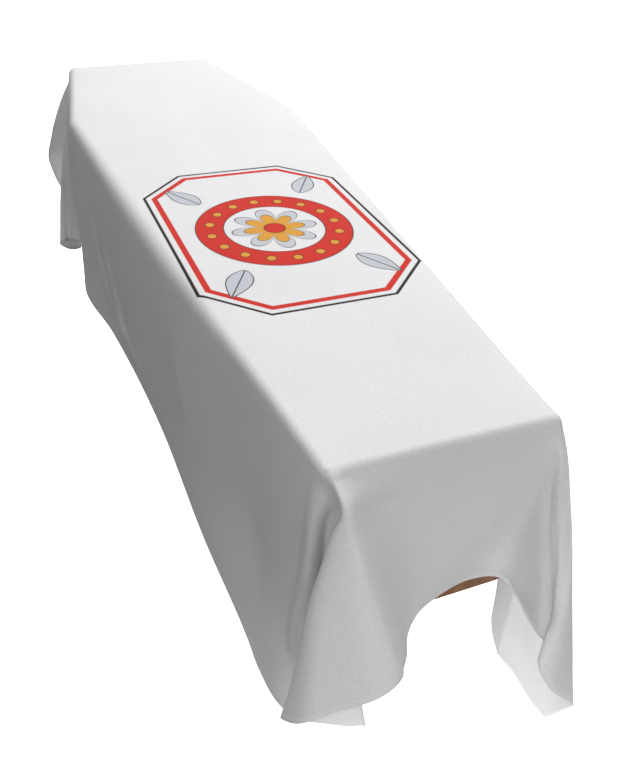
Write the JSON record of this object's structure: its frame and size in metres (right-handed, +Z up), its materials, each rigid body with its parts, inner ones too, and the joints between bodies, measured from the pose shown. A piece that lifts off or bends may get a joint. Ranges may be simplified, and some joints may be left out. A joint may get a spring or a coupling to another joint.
{
  "type": "coffin drape on a plain coffin",
  "caption": "White cloth drape spread over a plain six-sided coffin, flat on the lid, hanging as a loose skirt with deep folded corners and open arches at both ends.",
  "frame": {"origin": "middle of the coffin's flat underside", "axes": "+Z up, +Y along the coffin towards the head end, +X to the right when seen from the foot end"},
  "size_m": [0.6691, 2.3465, 0.6302],
  "materials": {
    "cloth": "matte white weave, paler reverse side, with a printed design across the top",
    "wood": "plain brown wood veneer, satin"
  },
  "bodies": {
    "root": {"drape": "cloth", "coffin": "wood"}
  },
  "joints": []
}
